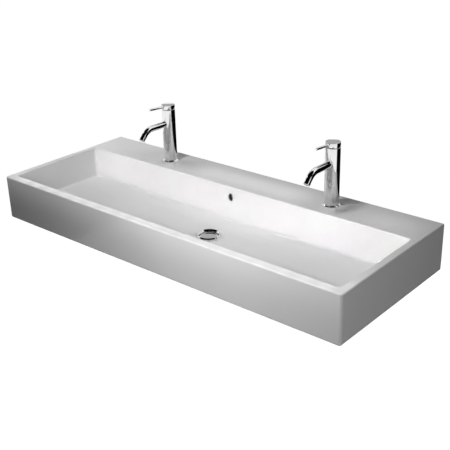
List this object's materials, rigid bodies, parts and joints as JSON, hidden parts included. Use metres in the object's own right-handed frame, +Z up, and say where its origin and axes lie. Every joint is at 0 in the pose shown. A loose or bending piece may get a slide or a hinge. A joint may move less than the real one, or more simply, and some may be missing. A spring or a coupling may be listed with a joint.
{
  "type": "wall-hung basin",
  "caption": "Long rectangular wall-hung ceramic basin with a rear tap deck, pin-lever mixer taps, an overflow hole and a push-open waste.",
  "frame": {"origin": "on the back face, at the wall, midway between the axes of the two wall bolts", "axes": "+X to the right as seen from the front, -Y from the wall to the front, +Z up"},
  "size_m": [1.2, 0.47, 0.3823],
  "materials": {
    "glaze": "gloss",
    "chrome": "polished",
    "brass": "satin",
    "steel": "satin",
    "rubber": "matte",
    "plastic": "matte",
    "disc_ceramic": "satin"
  },
  "bodies": {
    "basin_body": {"basin": "glaze", "waste_flange": "chrome", "flange_seal": "rubber", "tail_seal": "rubber", "tail_washer": "plastic", "back_nut": "brass", "click_housing": "plastic", "left_tap_body": "chrome", "left_base_ring": "chrome", "left_base_seal": "rubber", "left_spout": "chrome", "left_aerator_shell": "chrome", "left_aerator_insert": "plastic", "left_aerator_seal": "rubber", "left_cartridge_seal": "rubber", "left_cartridge_base": "plastic", "left_fixed_disc": "disc_ceramic", "left_cartridge_housing": "plastic", "left_cartridge_nut": "brass", "left_fixing_stud": "steel", "left_clamp_seal": "rubber", "left_clamp_plate": "steel", "left_fixing_nut": "brass", "right_tap_body": "chrome", "right_base_ring": "chrome", "right_base_seal": "rubber", "right_spout": "chrome", "right_aerator_shell": "chrome", "right_aerator_insert": "plastic", "right_aerator_seal": "rubber", "right_cartridge_seal": "rubber", "right_cartridge_base": "plastic", "right_fixed_disc": "disc_ceramic", "right_cartridge_housing": "plastic", "right_cartridge_nut": "brass", "right_fixing_stud": "steel", "right_clamp_seal": "rubber", "right_clamp_plate": "steel", "right_fixing_nut": "brass"},
    "plug": {"plug_cap": "chrome", "plug_seal": "rubber", "plug_stem": "brass"},
    "left_turn": {"left_turret": "plastic", "left_pivot_pin": "steel"},
    "left_handle": {"left_lever_stem": "brass", "left_handle_cap": "chrome", "left_pin_lever": "chrome", "left_grub_screw": "steel"},
    "left_disc": {"left_moving_disc": "disc_ceramic"},
    "right_turn": {"right_turret": "plastic", "right_pivot_pin": "steel"},
    "right_handle": {"right_lever_stem": "brass", "right_handle_cap": "chrome", "right_pin_lever": "chrome", "right_grub_screw": "steel"},
    "right_disc": {"right_moving_disc": "disc_ceramic"}
  },
  "joints": [
    {"name": "plug_slide", "type": "slide", "parent": "basin_body", "child": "plug", "axis": [0, 0, 1], "range_m": [0, 0.009]},
    {"name": "left_turn_hinge", "type": "hinge", "parent": "basin_body", "child": "left_turn", "pos_m": [-0.3, -0.064, 0.225], "axis": [0, 0, 1], "range_deg": [-45, 45]},
    {"name": "left_lift_hinge", "type": "hinge", "parent": "left_turn", "child": "left_handle", "pos_m": [-0.3, -0.064, 0.225], "axis": [-1, 0, 0], "range_deg": [0, 18]},
    {"name": "left_disc_slide", "type": "slide", "parent": "left_turn", "child": "left_disc", "axis": [0, -1, 0], "range_m": [0, 0.0025]},
    {"name": "right_turn_hinge", "type": "hinge", "parent": "basin_body", "child": "right_turn", "pos_m": [0.3, -0.064, 0.225], "axis": [0, 0, 1], "range_deg": [-45, 45]},
    {"name": "right_lift_hinge", "type": "hinge", "parent": "right_turn", "child": "right_handle", "pos_m": [0.3, -0.064, 0.225], "axis": [-1, 0, 0], "range_deg": [0, 18]},
    {"name": "right_disc_slide", "type": "slide", "parent": "right_turn", "child": "right_disc", "axis": [0, -1, 0], "range_m": [0, 0.0025]}
  ],
  "couplings": [
    {"joint": "left_disc_slide", "follows": "left_lift_hinge", "m_per_rad": 0.0075},
    {"joint": "right_disc_slide", "follows": "right_lift_hinge", "m_per_rad": 0.0075}
  ]
}
